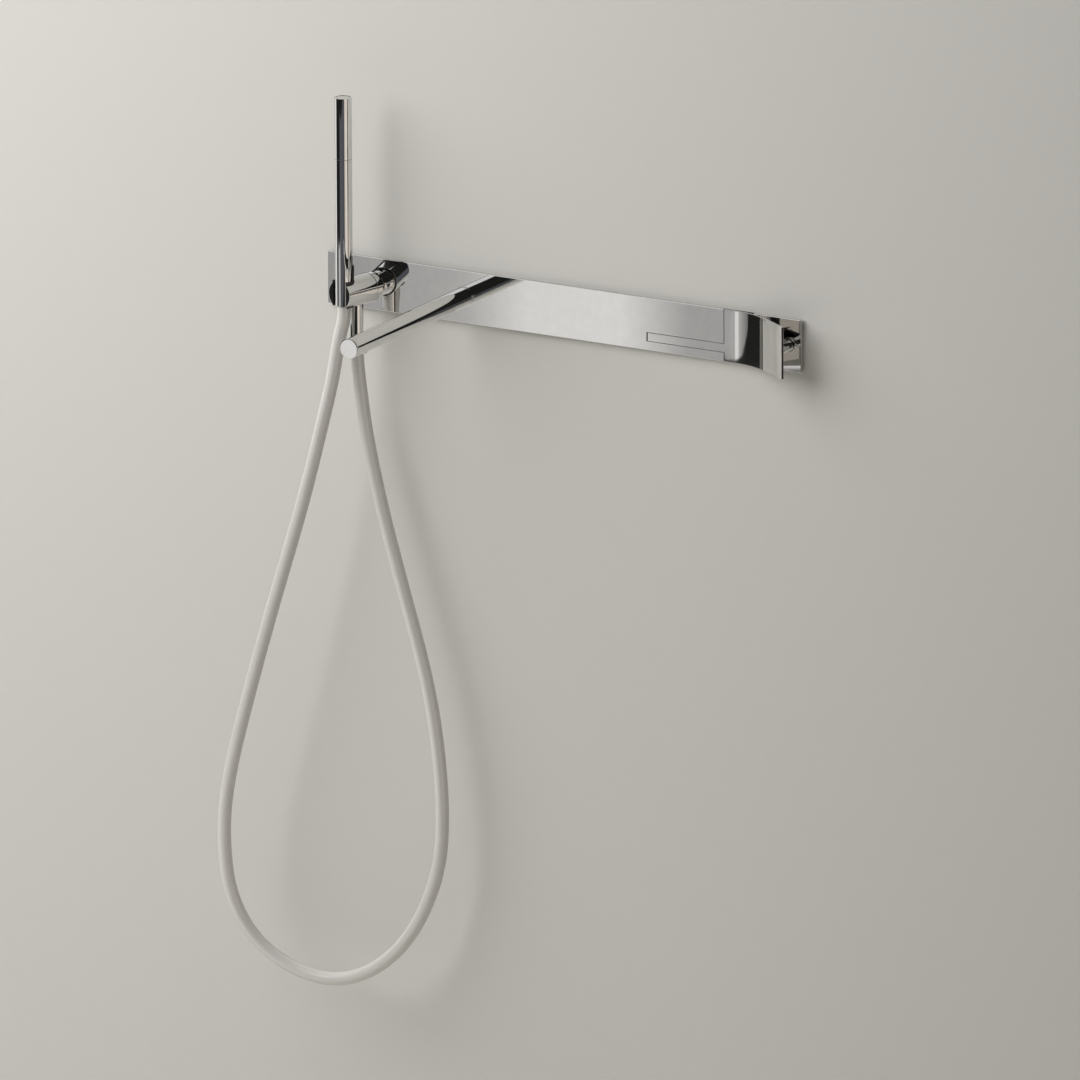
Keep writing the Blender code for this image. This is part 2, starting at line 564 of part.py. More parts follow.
def smooth_route(route, count):
    """Read evenly spaced points from a natural cubic spline through the route's points."""
    points = np.array(route, dtype=float)
    steps = np.linalg.norm(np.diff(points, axis=0), axis=1)
    knots = np.concatenate(([0.0], np.cumsum(np.sqrt(steps))))
    gaps = np.diff(knots)
    size = len(points)
    matrix = np.eye(size)
    target = np.zeros((size, 3))
    slopes = np.diff(points, axis=0) / gaps[:, None]
    for row in range(1, size - 1):
        matrix[row, row - 1] = gaps[row - 1]
        matrix[row, row] = 2 * (gaps[row - 1] + gaps[row])
        matrix[row, row + 1] = gaps[row]
        target[row] = 6 * (slopes[row] - slopes[row - 1])
    bends = np.linalg.solve(matrix, target)
    places = np.linspace(0, knots[-1], 4000)
    index = np.clip(np.searchsorted(knots, places, side="right") - 1, 0, size - 2)
    gap = gaps[index][:, None]
    before = (places - knots[index])[:, None]
    after = gap - before
    curve = (bends[index] * after ** 3 + bends[index + 1] * before ** 3) / (6 * gap)
    curve += (points[index] / gap - bends[index] * gap / 6) * after
    curve += (points[index + 1] / gap - bends[index + 1] * gap / 6) * before
    run = np.concatenate(([0.0], np.cumsum(np.linalg.norm(np.diff(curve, axis=0), axis=1))))
    even = np.linspace(0, run[-1], count)
    return np.stack([np.interp(even, run, curve[:, axis]) for axis in range(3)], axis=1)


def build_hose():
    """The hose's own solid: a plain tube along its hanging loop."""
    points = smooth_route(HOSE_ROUTE_MM, HOSE_POINTS) * 0.001
    line = bpy.data.curves.new("shower_hose", "CURVE")
    line.dimensions = "3D"
    line.bevel_depth = HOSE_RADIUS
    line.bevel_resolution = 2
    line.use_fill_caps = True
    spline = line.splines.new("POLY")
    spline.points.add(len(points) - 1)
    for place, point in zip(spline.points, points):
        place.co = (*point, 1.0)
    line.materials.append(surface("shower_hose", HOSE_SKIN))
    item = bpy.data.objects.new("shower_hose", line)
    bpy.context.collection.objects.link(item)
    return item


def main():
    """Build every sub-part."""
    clear_scene()
    build_plate()
    build_plate_backing()
    build_valve()
    build_pipework()
    build_spout()
    build_diverter()
    build_lever()
    holder = build_holder()
    build_hand_shower(holder)


main()
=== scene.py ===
"""Looks of a wall mounted bath faucet: polished chrome, a satin hose and soft studio light."""

import json
import logging
import math
from dataclasses import dataclass
from enum import Enum

import bpy
import numpy as np
from mathutils import Matrix, Vector


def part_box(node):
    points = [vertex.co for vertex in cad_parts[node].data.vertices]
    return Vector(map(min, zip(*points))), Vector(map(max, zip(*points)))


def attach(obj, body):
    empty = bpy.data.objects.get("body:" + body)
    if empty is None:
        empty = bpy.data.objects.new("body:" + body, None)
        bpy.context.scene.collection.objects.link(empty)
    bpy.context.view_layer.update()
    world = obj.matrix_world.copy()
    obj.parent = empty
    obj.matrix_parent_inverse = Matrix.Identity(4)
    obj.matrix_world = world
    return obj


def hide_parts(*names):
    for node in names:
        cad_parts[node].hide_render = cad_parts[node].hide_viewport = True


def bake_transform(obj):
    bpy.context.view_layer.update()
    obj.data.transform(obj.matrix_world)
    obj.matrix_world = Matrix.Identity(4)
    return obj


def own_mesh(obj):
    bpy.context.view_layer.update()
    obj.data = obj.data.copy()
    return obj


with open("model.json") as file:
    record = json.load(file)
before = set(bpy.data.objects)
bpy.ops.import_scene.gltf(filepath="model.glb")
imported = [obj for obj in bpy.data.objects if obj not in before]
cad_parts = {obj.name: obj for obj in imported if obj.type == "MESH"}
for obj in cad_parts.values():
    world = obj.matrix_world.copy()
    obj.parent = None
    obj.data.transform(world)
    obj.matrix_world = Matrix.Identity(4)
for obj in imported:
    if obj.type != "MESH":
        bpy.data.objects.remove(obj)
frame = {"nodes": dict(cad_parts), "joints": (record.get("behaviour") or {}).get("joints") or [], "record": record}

LOG = logging.getLogger("bath_faucet")
MM = 0.001
Array = np.ndarray
X_AXIS, Y_AXIS, Z_AXIS = np.eye(3)


class Pattern(Enum):
    """How a surface was made, which sets the shape of its fine variation."""

    POLISHED = (1.0, 1.0, 1.0)
    BRUSHED_X = (0.04, 1.0, 1.0)
    BRUSHED_Y = (1.0, 0.04, 1.0)
    MOULDED = (1.0, 1.0, 1.001)


class Ends(Enum):
    """How the two ends of a row of rings are closed."""

    JOINED = "joined"
    CAPPED = "capped"


def linear(colour: str) -> tuple[float, float, float, float]:
    """Turn an sRGB hex colour into linear values.

    Args:
        colour: Six hex digits after a hash.

    Returns:
        Red, green, blue and an alpha of one.
    """
    levels = np.array([int(colour[i:i + 2], 16) for i in (1, 3, 5)]) / 255
    low = levels / 12.92
    high = ((levels + 0.055) / 1.055) ** 2.4
    return (*np.where(levels <= 0.04045, low, high).tolist(), 1.0)


def add_node(tree: bpy.types.NodeTree, kind: str, settings: dict | None = None,
             links: dict | None = None) -> bpy.types.Node:
    """Add one shader node.

    Args:
        tree: The material's or world's node tree.
        kind: The node's type without its ShaderNode prefix.
        settings: Values for its properties or inputs, by name or input number.
        links: Output sockets that feed its inputs, by name or input number.

    Returns:
        The new node.
    """
    node = tree.nodes.new("ShaderNode" + kind)
    for name, value in (settings or {}).items():
        if isinstance(name, str) and hasattr(node, name):
            setattr(node, name, value)
        else:
            node.inputs[name].default_value = value
    for name, socket in (links or {}).items():
        tree.links.new(socket, node.inputs[name])
    return node


def new_material(name: str) -> tuple[bpy.types.Material, bpy.types.Node]:
    """Make an empty node material.

    Args:
        name: The material's name.

    Returns:
        The material and its output node.
    """
    material = bpy.data.materials.new(name)
    material.use_nodes = True
    material.node_tree.nodes.clear()
    return material, add_node(material.node_tree, "OutputMaterial")


@dataclass(frozen=True)
class Finish:
    """A real material and the way its surface was made.

    Attributes:
        name: What the maker would call it.
        colour: Its sRGB base colour.
        shade: The darker sRGB colour of its fine variation.
        metallic: One for bare or plated metal.
        roughness: The middle of its roughness.
        spread: How far the roughness wanders either way.
        grain_mm: The size of the variation.
        relief_mm: The depth of the grain.
        pattern: The direction of the grain.
        coat: Weight of a clear layer.
    """

    name: str
    colour: str
    shade: str
    metallic: float
    roughness: float
    spread: float
    grain_mm: float
    relief_mm: float
    pattern: Pattern = Pattern.MOULDED
    coat: float = 0.0

    def material(self) -> bpy.types.Material:
        """Build the material once, and give the same one for every piece that wears it."""
        known = bpy.data.materials.get(self.name)
        if known:
            return known
        material, output = new_material(self.name)
        tree = material.node_tree
        place = add_node(tree, "TexCoord")
        stretch = add_node(tree, "Mapping", {"Scale": self.pattern.value},
                           {"Vector": place.outputs["Object"]})
        grain = add_node(tree, "TexNoise", {"Scale": 1 / (self.grain_mm * MM), "Detail": 3.0},
                         {"Vector": stretch.outputs[0]})
        tone = add_node(tree, "Mix", {"data_type": "RGBA"}, {0: grain.outputs["Fac"]})
        tone.inputs[6].default_value = linear(self.colour)
        tone.inputs[7].default_value = linear(self.shade)
        haze = add_node(tree, "MapRange", {3: self.roughness - self.spread,
                                           4: self.roughness + self.spread},
                        {0: grain.outputs["Fac"]})
        relief = add_node(tree, "Bump", {"Distance": self.relief_mm * MM, "Strength": 1.0},
                          {"Height": grain.outputs["Fac"]})
        shader = add_node(tree, "BsdfPrincipled",
                          {"Metallic": self.metallic, "Coat Weight": self.coat,
                           "Coat Roughness": 0.06},
                          {"Base Color": tone.outputs[2], "Roughness": haze.outputs[0],
                           "Normal": relief.outputs[0]})
        tree.links.new(shader.outputs[0], output.inputs["Surface"])
        return material


# Bright nickel chrome plate, buffed: a near perfect mirror with the faintest haze.
CHROME = Finish("polished_chrome_plate", "#E6E6E4", "#DCDCDB", 1.0, 0.035, 0.015, 9.0, 0.0,
                Pattern.POLISHED)
# Machined yellow brass, hidden behind the wall: warm, with fine tool lines.
BRASS = Finish("machined_brass", "#C9A566", "#B48F52", 1.0, 0.30, 0.08, 1.2, 0.02,
               Pattern.BRUSHED_Y)
# Rolled stainless steel: a fine lengthwise grain and a grey satin shine.
STEEL = Finish("brushed_stainless_steel", "#B4B5B6", "#989A9C", 1.0, 0.32, 0.07, 1.0, 0.015,
               Pattern.BRUSHED_X)
# Moulded EPDM rubber: dark, matt and slightly dusty.
RUBBER = Finish("moulded_epdm_rubber", "#1C1C1D", "#2B2B2C", 0.0, 0.72, 0.10, 0.8, 0.03)
# Moulded silicone of the nozzles: soft grey with a dull sheen.
SILICONE = Finish("moulded_silicone", "#8D9092", "#7C7F81", 0.0, 0.55, 0.08, 0.9, 0.015)
# Lapped alumina ceramic: ivory and smooth.
CERAMIC = Finish("lapped_alumina", "#E9E4D8", "#DDD7CA", 0.0, 0.22, 0.06, 2.0, 0.004)
# Moulded white acetal: slightly waxy.
WHITE_ACETAL = Finish("moulded_white_acetal", "#E4E3DE", "#D5D4CE", 0.0, 0.42, 0.07, 1.6, 0.01)
# Moulded graphite acetal of the holder's liner: dark with a satin shine.
GREY_ACETAL = Finish("moulded_graphite_acetal", "#2C2D2F", "#222325", 0.0, 0.35, 0.08, 1.4, 0.01)


@dataclass(frozen=True)
class HoseFinish:
    """Smooth silver PVC over a woven braid, which shows as the faintest crossing lines."""

    name: str = "silver_pvc_hose"
    colour: str = "#E2DFDA"
    shade: str = "#C4C2BE"
    braid_mm: float = 2.4

    def material(self, diameter: float) -> bpy.types.Material:
        """Build the hose's material on its own UV map.

        Args:
            diameter: The hose's diameter in metres, which sets how many threads go round it.

        Returns:
            The material.
        """
        material, output = new_material(self.name)
        tree = material.node_tree
        threads = round(math.pi * diameter / (self.braid_mm * MM))
        place = add_node(tree, "UVMap", {"uv_map": "UVMap"})
        split = add_node(tree, "SeparateXYZ", links={0: place.outputs[0]})
        waves = []
        for hand in (1.0, -1.0):
            along = add_node(tree, "Math", {"operation": "MULTIPLY", 1: hand * 2 * math.pi
                                            / (self.braid_mm * MM)}, {0: split.outputs[1]})
            around = add_node(tree, "Math", {"operation": "MULTIPLY_ADD", 1: 2 * math.pi * threads},
                              {0: split.outputs[0], 2: along.outputs[0]})
            waves.append(add_node(tree, "Math", {"operation": "SINE"}, {0: around.outputs[0]}))
        weave = add_node(tree, "Math", {"operation": "MULTIPLY"},
                         {0: waves[0].outputs[0], 1: waves[1].outputs[0]})
        level = add_node(tree, "MapRange", {1: -1.0, 2: 1.0}, {0: weave.outputs[0]})
        tone = add_node(tree, "Mix", {"data_type": "RGBA"}, {0: level.outputs[0]})
        tone.inputs[6].default_value = linear(self.colour)
        tone.inputs[7].default_value = linear(self.shade)
        haze = add_node(tree, "MapRange", {3: 0.30, 4: 0.38}, {0: level.outputs[0]})
        relief = add_node(tree, "Bump", {"Distance": 0.00002, "Strength": 0.5},
                          {"Height": level.outputs[0]})
        shader = add_node(tree, "BsdfPrincipled",
                          {"Metallic": 0.18, "Coat Weight": 0.3, "Coat Roughness": 0.2},
                          {"Base Color": tone.outputs[2], "Roughness": haze.outputs[0],
                           "Normal": relief.outputs[0]})
        tree.links.new(shader.outputs[0], output.inputs["Surface"])
        return material


def unit(vector: Array) -> Array:
    """Scale vectors to length one along their last axis."""
    return vector / np.linalg.norm(vector, axis=-1, keepdims=True)


def rounded(corners: Array, radius: float, closed: bool = False, steps: int = 5) -> Array:
    """Round an outline's corners with short curves.

    Each corner becomes the quadratic curve (1-t)^2 a + 2t(1-t) corner + t^2 b, with a and b a
    radius away from it. One more point beyond each end keeps the flats flat when shaded smooth.

    Args:
        corners: Outline points, (n, 2).
        radius: Distance from the corner to the curve's ends.
        closed: Whether the last point joins the first.
        steps: Points on each curve.

    Returns:
        The rounded outline.
    """
    corners = np.asarray(corners, dtype=float)
    before, after = np.roll(corners, 1, axis=0), np.roll(corners, -1, axis=0)
    middle = slice(None) if closed else slice(1, -1)
    here = corners[middle]
    back, ahead = before[middle] - here, after[middle] - here
    room = np.minimum(np.linalg.norm(back, axis=1), np.linalg.norm(ahead, axis=1))
    reach = np.minimum(radius, 0.3 * room)[:, None]
    start, stop = here + unit(back) * reach, here + unit(ahead) * reach
    t = np.linspace(0, 1, steps)[None, :, None]
    curve = (1 - t) ** 2 * start[:, None] + 2 * t * (1 - t) * here[:, None] + t ** 2 * stop[:, None]
    guards = (here + unit(back) * reach * 1.5)[:, None], (here + unit(ahead) * reach * 1.5)[:, None]
    outline = np.concatenate([guards[0], curve, guards[1]], axis=1).reshape(-1, 2)
    if closed:
        return outline
    return np.concatenate([corners[:1], outline, corners[-1:]])


def skin(rings: Array, ends: Ends) -> tuple[Array, list]:
    """Cover a row of rings with faces that point outwards.

    Point (i, j) of the grid is point j of ring i. The ends are joined to each other, or each is
    closed by a fan to its middle. The solid's signed volume tells which way the faces point.

    Args:
        rings: Points, (count, sides, 3).
        ends: Joined or capped.

    Returns:
        Points (n, 3) and faces as lists of indices.
    """
    count, sides, _ = rings.shape
    points = rings.reshape(-1, 3)
    step = np.arange(sides)
    after = (step + 1) % sides
    rows = np.arange(count if ends is Ends.JOINED else count - 1)[:, None] * sides
    following = (rows + sides) % (count * sides)
    quads = np.stack([rows + step, rows + after, following + after, following + step], axis=-1)
    quads = quads.reshape(-1, 4)
    corners = points[quads]
    volume = np.einsum("ij,ij->", corners[:, 0], np.cross(corners[:, 1], corners[:, 2]))
    volume += np.einsum("ij,ij->", corners[:, 0], np.cross(corners[:, 2], corners[:, 3]))
    faces = [quads]
    if ends is Ends.CAPPED:
        points = np.concatenate([points, rings[[0, -1]].mean(axis=1)])
        top = (count - 1) * sides
        first = np.stack([after, step, np.full(sides, len(points) - 2)], axis=-1)
        last = np.stack([top + step, top + after, np.full(sides, len(points) - 1)], axis=-1)
        fans = np.concatenate([first, last])
        corners = points[fans]
        volume += np.einsum("ij,ij->", corners[:, 0], np.cross(corners[:, 1], corners[:, 2]))
        faces.append(fans)
    if volume < 0:
        faces = [block[:, ::-1] for block in faces]
    return points, [face for block in faces for face in block.tolist()]


def piece(name: str, points: Array, faces: list, material: bpy.types.Material,
          sharp: float = 30.0) -> bpy.types.Object:
    """Make a shaded object at the origin from points and faces.

    Args:
        name: The piece's name.
        points: Its vertices in the row's frame.
        faces: Index lists.
        material: What it wears.
        sharp: Edges bent by more degrees than this stay crisp.

    Returns:
        The new object.
    """
    mesh = bpy.data.meshes.new(name)
    mesh.from_pydata(points.tolist(), [], faces)
    mesh.validate()
    mesh.shade_smooth()
    mesh.set_sharp_from_angle(angle=math.radians(sharp))
    mesh.materials.append(material)
    item = bpy.data.objects.new(name, mesh)
    bpy.context.collection.objects.link(item)
    return item


def turned(name: str, outline: Array, place: Array, axis: Array, finish: Finish,
           sides: int = 96) -> bpy.types.Object:
    """Turn an outline round an axis, as on a lathe.

    Each point is place + axis * height + radius * (cos a * u + sin a * v), where u and v are
    square to the axis. An outline that starts on the axis is closed by its ends, and one that
    doesn't is a closed loop round a bore.

    Args:
        name: The piece's name.
        outline: (radius, height) points in metres.
        place: Where the heights start.
        axis: Direction of the heights.
        finish: What it wears.
        sides: Facets round the axis.

    Returns:
        The new object.
    """
    outline = np.asarray(outline)
    solid = outline[0, 0] < 1e-6
    rows = outline[1:-1] if solid else outline
    helper = Z_AXIS if abs(axis[2]) < 0.9 else X_AXIS
    across = unit(np.cross(axis, helper))
    other = np.cross(axis, across)
    angle = np.linspace(0, 2 * np.pi, sides, endpoint=False)
    circle = np.cos(angle)[:, None] * across + np.sin(angle)[:, None] * other
    rings = place + rows[:, 1, None, None] * axis + rows[:, 0, None, None] * circle
    points, faces = skin(rings, Ends.CAPPED if solid else Ends.JOINED)
    return piece(name, points, faces, finish.material())


def cut(item: bpy.types.Object, tool: bpy.types.Object) -> None:
    """Cut one piece by another with an exact Boolean, and remove the tool."""
    change = item.modifiers.new("cut", "BOOLEAN")
    change.operation = "DIFFERENCE"
    change.solver = "EXACT"
    change.object = tool
    settle(item)
    bpy.data.objects.remove(tool, do_unlink=True)


def settle(item: bpy.types.Object, reshade: bool = True) -> None:
    """Replace a piece's mesh by what its modifiers make of it.

    Args:
        item: The piece.
        reshade: Whether its edges are marked sharp again, by angle.
    """
    graph = bpy.context.evaluated_depsgraph_get()
    mesh = bpy.data.meshes.new_from_object(item.evaluated_get(graph))
    item.modifiers.clear()
    item.data = mesh
    if reshade:
        mesh.shade_smooth()
        mesh.set_sharp_from_angle(angle=math.radians(30))


def span(node: str) -> tuple[Array, Array, Array]:
    """A CAD node's lowest corner, highest corner and middle."""
    low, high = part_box(node)
    low, high = np.array(low), np.array(high)
    return low, high, (low + high) / 2


def joint(name: str) -> dict:
    """The record's entry for one joint."""
    return next(entry for entry in frame["joints"] if entry["name"] == name)


def smooth_route(route: Array, count: int, fine: int = 6000) -> Array:
    """Read evenly spaced points from a natural cubic spline through a route's own points.

    The knots are spaced by the square root of each step, and the spline's second derivatives
    solve the usual three-term equations.

    Args:
        route: Points, (n, 3).
        count: How many points to give back.
        fine: How many points its length is measured with.

    Returns:
        Points, (count, 3).
    """
    steps = np.linalg.norm(np.diff(route, axis=0), axis=1)
    knots = np.concatenate(([0.0], np.cumsum(np.sqrt(steps))))
    gaps = np.diff(knots)
    slopes = np.diff(route, axis=0) / gaps[:, None]
    size = len(route)
    matrix = np.eye(size)
    inner = np.arange(1, size - 1)
    matrix[inner, inner - 1] = gaps[:-1]
    matrix[inner, inner] = 2 * (gaps[:-1] + gaps[1:])
    matrix[inner, inner + 1] = gaps[1:]
    target = np.zeros((size, 3))
    target[1:-1] = 6 * np.diff(slopes, axis=0)
    bends = np.linalg.solve(matrix, target)
    places = np.linspace(0, knots[-1], fine)
    index = np.clip(np.searchsorted(knots, places, side="right") - 1, 0, size - 2)
    gap = gaps[index][:, None]
    before = (places - knots[index])[:, None]
    after = gap - before
    curve = (bends[index] * after ** 3 + bends[index + 1] * before ** 3) / (6 * gap)
    curve += (route[index] / gap - bends[index] * gap / 6) * after
    curve += (route[index + 1] / gap - bends[index + 1] * gap / 6) * before
    run = np.concatenate(([0.0], np.cumsum(np.linalg.norm(np.diff(curve, axis=0), axis=1))))
    even = np.linspace(0, run[-1], count)
    return np.stack([np.interp(even, run, curve[:, column]) for column in range(3)], axis=1)


def wire_rings(line: Array, away: Array, radius: float, sides: int) -> Array:
    """Put a circle round every point of a line, square to its run.

    A circle's own directions are the cross product of the run with a fixed direction, and the
    cross product of that with the run. The line never runs along the fixed direction, so the
    circles never flip.

    Args:
        line: Points, (count, 3).
        away: The fixed direction.
        radius: Radius of the circles.
        sides: Points on each circle.

    Returns:
        Points, (count, sides, 3).
    """
    tangent = unit(np.gradient(line, axis=0))
    side = unit(np.cross(tangent, away))
    front = np.cross(side, tangent)
    angle = np.linspace(0, 2 * np.pi, sides, endpoint=False)[None, :, None]
    shape = np.cos(angle) * side[:, None] + np.sin(angle) * front[:, None]
    return line[:, None] + shape * radius


@dataclass
class LongLens:
    """The camera: far away with a long lens, so parallel edges stay parallel."""

    azimuth: float = 30.29
    elevation: float = 15.45
    roll: float = -0.249
    distance: float = 40.0
    field_width: float = 1.0651
    aim_right: float = -0.0231
    aim_up: float = -0.2252

    def build(self) -> None:
        """Make the camera and give it to the scene."""
        turn, lift = math.radians(self.azimuth), math.radians(self.elevation)
        back = np.array([math.sin(turn) * math.cos(lift), -math.cos(turn) * math.cos(lift),
                         math.sin(lift)])
        level = np.array([math.cos(turn), math.sin(turn), 0.0])
        upright = np.cross(back, level)
        lean = math.radians(self.roll)
        right = level * math.cos(lean) + upright * math.sin(lean)
        up = upright * math.cos(lean) - level * math.sin(lean)
        front = span("faceplate")[0][1]
        aim = np.array([0.0, front, 0.0]) + right * self.aim_right + up * self.aim_up
        camera = bpy.data.cameras.new("long_lens")
        camera.sensor_width = 36.0
        camera.lens = camera.sensor_width * self.distance / self.field_width
        item = bpy.data.objects.new("long_lens", camera)
        bpy.context.collection.objects.link(item)
        axes = np.stack([right, up, back], axis=1)
        place = Matrix(axes.tolist()).to_4x4()
        place.translation = Vector((aim + back * self.distance).tolist())
        item.matrix_world = place
        bpy.context.scene.camera = item


@dataclass
class Hose:
    """The hanging hose: 1.5 m of smooth silver tube in one loop."""

    length: float = 1.5
    diameter: float = 0.0134
    sides: int = 40
    rings: int = 700
    follow_share: float = 0.45
    route_mm: tuple = (
        (-218.4, -36.3, -52.5), (-217.6, -36.2, -72), (-214.6, -36.4, -97), (-208.5, -37, -136),
        (-191, -38, -211), (-161, -40, -309), (-132, -43, -406), (-117, -47, -505),
        (-118, -50, -566), (-129, -53, -608), (-160, -58, -662), (-230, -65, -702),
        (-309, -72, -677), (-340, -77, -631), (-347, -80, -590), (-344, -83, -527),
        (-318, -84, -421), (-288, -81, -316), (-258, -75, -211), (-239, -67.5, -128),
        (-231, -61, -82), (-226, -55.8, -42), (-223, -53, -24), (-222.9, -52.9, -11.9),
    )

    def build(self) -> None:
        """Sweep a circle along the route."""
        line = smooth_route(np.array(self.route_mm) * MM, self.rings)
        rings = wire_rings(line, -Y_AXIS, self.diameter / 2, self.sides)
        points, faces = skin(rings, Ends.CAPPED)
        item = piece("hose_tube", points, faces, HoseFinish().material(self.diameter))
        self.unwrap(item, len(faces))
        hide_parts("shower_hose")
        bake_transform(item)
        LOG.info("hose_tube: %d rings", self.rings)

    def unwrap(self, item: bpy.types.Object, faces: int) -> None:
        """Give the tube a UV map: u once round it, v metres along it.

        Args:
            item: The tube.
            faces: How many faces it has, its caps among them.
        """
        mesh = item.data
        corner = np.empty(len(mesh.loops), dtype=np.int64)
        mesh.loops.foreach_get("vertex_index", corner)
        u = (corner % self.sides) / self.sides
        v = np.minimum(corner // self.sides, self.rings - 1) / (self.rings - 1) * self.length
        starts = np.empty(faces, dtype=np.int64)
        totals = np.empty(faces, dtype=np.int64)
        mesh.polygons.foreach_get("loop_start", starts)
        mesh.polygons.foreach_get("loop_total", totals)
        owner = np.repeat(np.arange(faces), totals)
        widest = np.maximum.reduceat(u, starts)[owner]
        u = np.where((widest - u) > 0.5, u + 1.0, u)
        layer = mesh.uv_layers.new(name="UVMap")
        layer.data.foreach_set("uv", np.stack([u, v], axis=1).ravel().astype(np.float32))


@dataclass
class Round:
    """A round piece that only needs a finer, rounded copy of its CAD node.

    Attributes:
        node: The CAD node it stands for.
        body: The body it rides on.
        axis: 0, 1 or 2 for X, Y or Z.
        bore: Radius of its hole, or zero.
        finish: What it wears.
        slot: The record's material slot; not used.
        edge: How far its corners are rounded.
    """

    node: str
    body: str
    axis: int
    bore: float
    finish: Finish
    slot: str
    edge: float = 0.0004

    def build(self) -> bpy.types.Object:
        """Turn the node's box into a smooth ring or disc."""
        low, high, middle = span(self.node)
        along = np.eye(3)[self.axis]
        half = (high - low)[self.axis] / 2
        radius = max((high - low)[i] for i in range(3) if i != self.axis) / 2
        corners = [(self.bore, -half), (radius, -half), (radius, half), (self.bore, half)]
        outline = rounded(corners, self.edge, closed=self.bore > 0)
        item = turned(self.node + "_fine", outline, middle, along, self.finish)
        return self.attach(item)

    def attach(self, item: bpy.types.Object) -> bpy.types.Object:
        """Ride the piece on its body in place of its node."""
        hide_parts(self.node)
        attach(item, self.body)
        LOG.info("%s on %s", item.name, self.body)
        return item


@dataclass
class Lever:
    """The T shaped bent lever with its hub."""

    thickness: float = 0.0025
    bend_start: float = 0.193
    bend_radius: float = 0.080
    bend_degrees: float = 32.0
    bend_steps: int = 61
    guard_share: float = 0.04
    edge_x: float = 0.266
    seam_x: float = 0.1829
    tongue_low: float = -0.0172
    tongue_high: float = -0.0087
    hub_radius: float = 0.0055
    hub_bore: float = 0.0034
    hub_chamfer: float = 0.0004
    hub_gap: float = 0.0004
    hub_inset: float = 0.0022
    hub_sides: int = 96
    edge: float = 0.0003
    flat_weight: int = 80

    def front_line(self) -> tuple[Array, Array]:
        """The front face seen from above.

        It is flat, then an arc x = start + R sin t, rise = R (1 - cos t), then straight. A
        column just past the bend keeps the flap's shading flat.

        Returns:
            X positions and Y positions.
        """
        front = span("faceplate")[0][1]
        turn = np.radians(self.bend_degrees) * np.linspace(0, 1, self.bend_steps)
        arc_x = self.bend_start + self.bend_radius * np.sin(turn)
        arc_y = front - self.bend_radius * (1 - np.cos(turn))
        reach = (self.edge_x - arc_x[-1]) * np.array([self.guard_share, 1.0])
        flat_x = np.array([span("lever")[0][0], self.seam_x])
        x = np.concatenate([flat_x, arc_x, arc_x[-1] + reach])
        y = np.concatenate([[front, front], arc_y, arc_y[-1] - reach * math.tan(turn[-1])])
        return x, y

    def build(self) -> None:
        """Lay the T on the bent line, then thicken it and round its edges.

        The grid's columns follow the line and its rows are the heights of the T's corners. The
        tongue's columns keep only the middle row of faces.
        """
        low, high, _ = span("lever")
        x, y = self.front_line()
        z = np.array([low[2], self.tongue_low, self.tongue_high, high[2]])
        columns, rows = len(x), len(z)
        points = np.stack([np.repeat(x, rows), np.repeat(y, rows), np.tile(z, columns)], axis=1)
        column, row = np.meshgrid(np.arange(columns - 1), np.arange(rows - 1), indexing="ij")
        keep = (column > 0) | (row == 1)
        start = (column * rows + row)[keep]
        faces = np.stack([start, start + rows, start + rows + 1, start + 1], axis=1)
        used, faces = np.unique(faces, return_inverse=True)
        item = piece("lever_sheet", points[used], faces.reshape(-1, 4).tolist(), CHROME.material())
        wall = item.modifiers.new("thickness", "SOLIDIFY")
        wall.thickness = self.thickness
        wall.offset = -1.0
        wall.use_even_offset = True
        edges = item.modifiers.new("edges", "BEVEL")
        edges.width = self.edge
        edges.segments = 3
        edges.limit_method = "ANGLE"
        edges.angle_limit = math.radians(40)
        flats = item.modifiers.new("flats", "WEIGHTED_NORMAL")
        flats.mode = "FACE_AREA"
        flats.weight = self.flat_weight
        flats.keep_sharp = False
        settle(item, reshade=False)
        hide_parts("lever")
        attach(item, "lever_body")
        self.build_hub(x, y)

    def build_hub(self, x: Array, y: Array) -> None:
        """Turn the hub as a tube whose top ring follows the flap's slanted back.

        Each ring point's height is the bottom's plus a share of the way to the slanted plane.

        Args:
            x: X positions of the lever's front line.
            y: Its Y positions.
        """
        _, _, middle = span("lever_hub")
        front = span("faceplate")[0][1]
        slope = (y[-1] - y[-2]) / (x[-1] - x[-2])
        normal_gap = (self.thickness + self.hub_gap) / math.cos(math.radians(self.bend_degrees))
        angle = np.linspace(0, 2 * np.pi, self.hub_sides, endpoint=False)
        bore, radius = self.hub_bore, self.hub_radius
        radii = np.array([bore, radius - self.hub_chamfer, radius, radius, bore])
        share = np.array([0.0, 0.0, 0.02, 1.0, 1.0])
        ring_x = middle[0] + radii[:, None] * np.cos(angle)
        ring_z = middle[2] + radii[:, None] * np.sin(angle)
        base = front - self.hub_inset
        slant = y[-1] + (ring_x - x[-1]) * slope + normal_gap
        ring_y = base + share[:, None] * (slant - base)
        rings = np.stack([ring_x, ring_y, ring_z], axis=-1)
        points, faces = skin(rings, Ends.JOINED)
        item = piece("lever_hub_fine", points, faces, CHROME.material())
        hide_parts("lever_hub")
        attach(item, "lever_body")
        LOG.info("lever sheet and hub")


